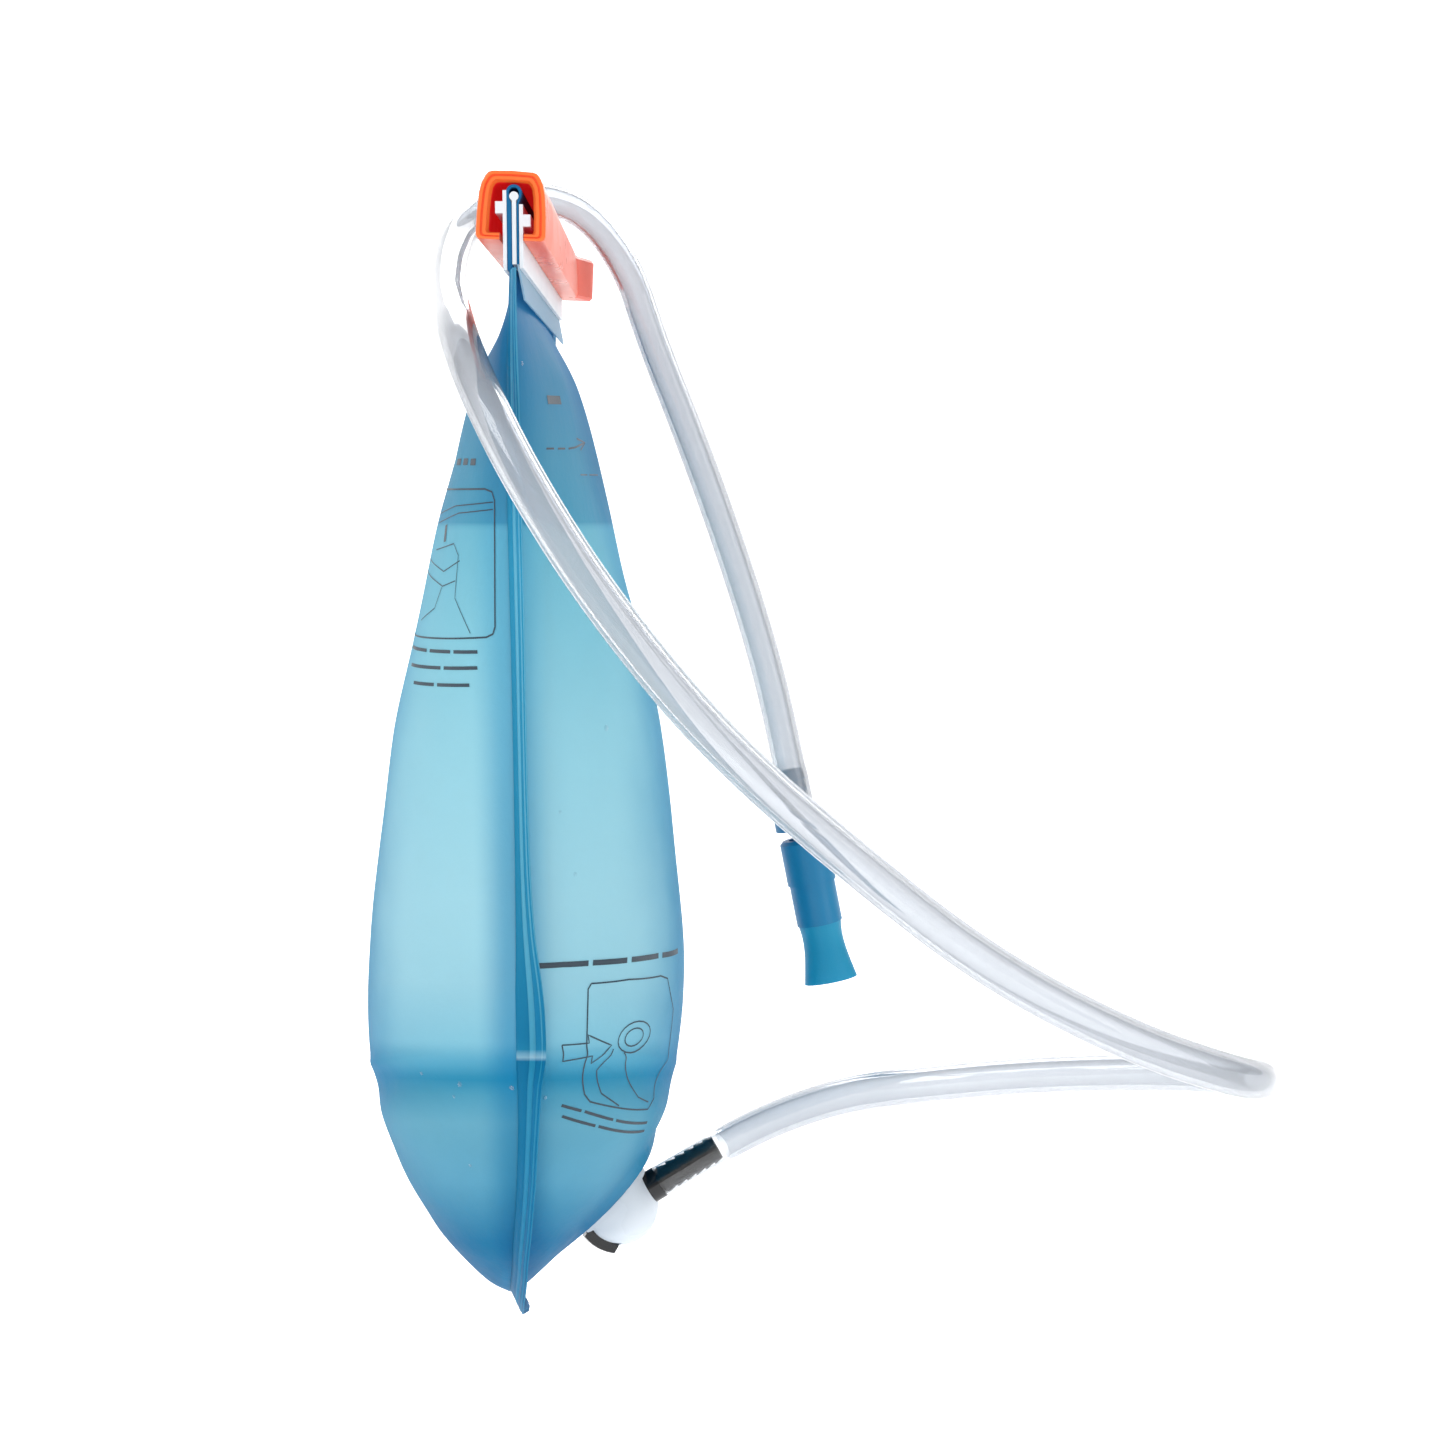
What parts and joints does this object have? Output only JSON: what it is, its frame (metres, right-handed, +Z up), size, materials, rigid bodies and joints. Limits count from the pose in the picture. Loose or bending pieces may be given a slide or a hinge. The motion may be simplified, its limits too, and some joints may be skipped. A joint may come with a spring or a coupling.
{
  "type": "hydration bladder",
  "caption": "Inflated film pouch with a slide-on closure bar, a push-button quick-release port, a clear drinking hose and a bite valve.",
  "frame": {"origin": "centre of the closure: the middle of the slider's section, half way along it, where the closure is hung", "axes": "+Z up, +Y along the closure in the direction that the slider comes off, +X across the pouch towards the panel with the port"},
  "size_m": [0.2378, 0.2167, 0.3321],
  "materials": {
    "film": "translucent satin TPU film",
    "white_plastic": "satin white",
    "clear_disc": "translucent",
    "seal_rubber": "matt black rubber",
    "housing": "translucent white",
    "spring_steel": "bright wire",
    "orange_plastic": "satin orange",
    "black_plastic": "glossy black",
    "clear_tube": "clear soft tube",
    "blue_plastic": "translucent blue",
    "blue_silicone": "soft blue silicone"
  },
  "bodies": {
    "pouch": {"left_panel": "film", "right_panel": "film", "folded_mouth": "film", "mouth_flap": "film", "bulb_rod": "white_plastic", "left_guide_strip": "white_plastic", "right_guide_strip": "white_plastic", "port_base": "clear_disc", "port_gasket": "seal_rubber", "port_lock_ring": "white_plastic", "valve_housing": "housing", "button_spring": "spring_steel", "poppet_spring": "spring_steel", "hose": "clear_tube", "bite_spigot": "blue_plastic", "spigot_o_ring": "seal_rubber"},
    "slider": {"slider": "orange_plastic"},
    "button": {"release_button": "black_plastic", "latch_fork": "black_plastic"},
    "poppet": {"poppet": "white_plastic", "poppet_seal": "seal_rubber"},
    "plug": {"hose_plug": "black_plastic", "plug_o_ring": "seal_rubber"},
    "bite_valve": {"bite_sleeve": "blue_plastic", "bite_mouthpiece": "blue_silicone"}
  },
  "joints": [
    {"name": "slider_slide", "type": "slide", "parent": "pouch", "child": "slider", "axis": [0, 1, 0], "range_m": [0, 0.19]},
    {"name": "button_press", "type": "slide", "parent": "pouch", "child": "button", "axis": [0.509, 0, 0.8607], "range_m": [0, 0.0025], "stiffness_N_per_m": 600, "springref_m": -0.001, "deforming": ["button_spring"]},
    {"name": "hose_unplug", "type": "slide", "parent": "pouch", "child": "plug", "axis": [0.8536, 0, 0.521], "range_m": [0, 0.012], "deforming": ["hose"]},
    {"name": "poppet_slide", "type": "slide", "parent": "pouch", "child": "poppet", "axis": [0.8536, 0, 0.521], "range_m": [0, 0.003], "deforming": ["poppet_spring"]},
    {"name": "bite_valve_slide", "type": "slide", "parent": "pouch", "child": "bite_valve", "axis": [0.192, -0.0409, -0.9805], "range_m": [-0.003, 0]}
  ],
  "couplings": [
    {"joint": "poppet_slide", "follows": "hose_unplug", "ratio": 0.25}
  ]
}
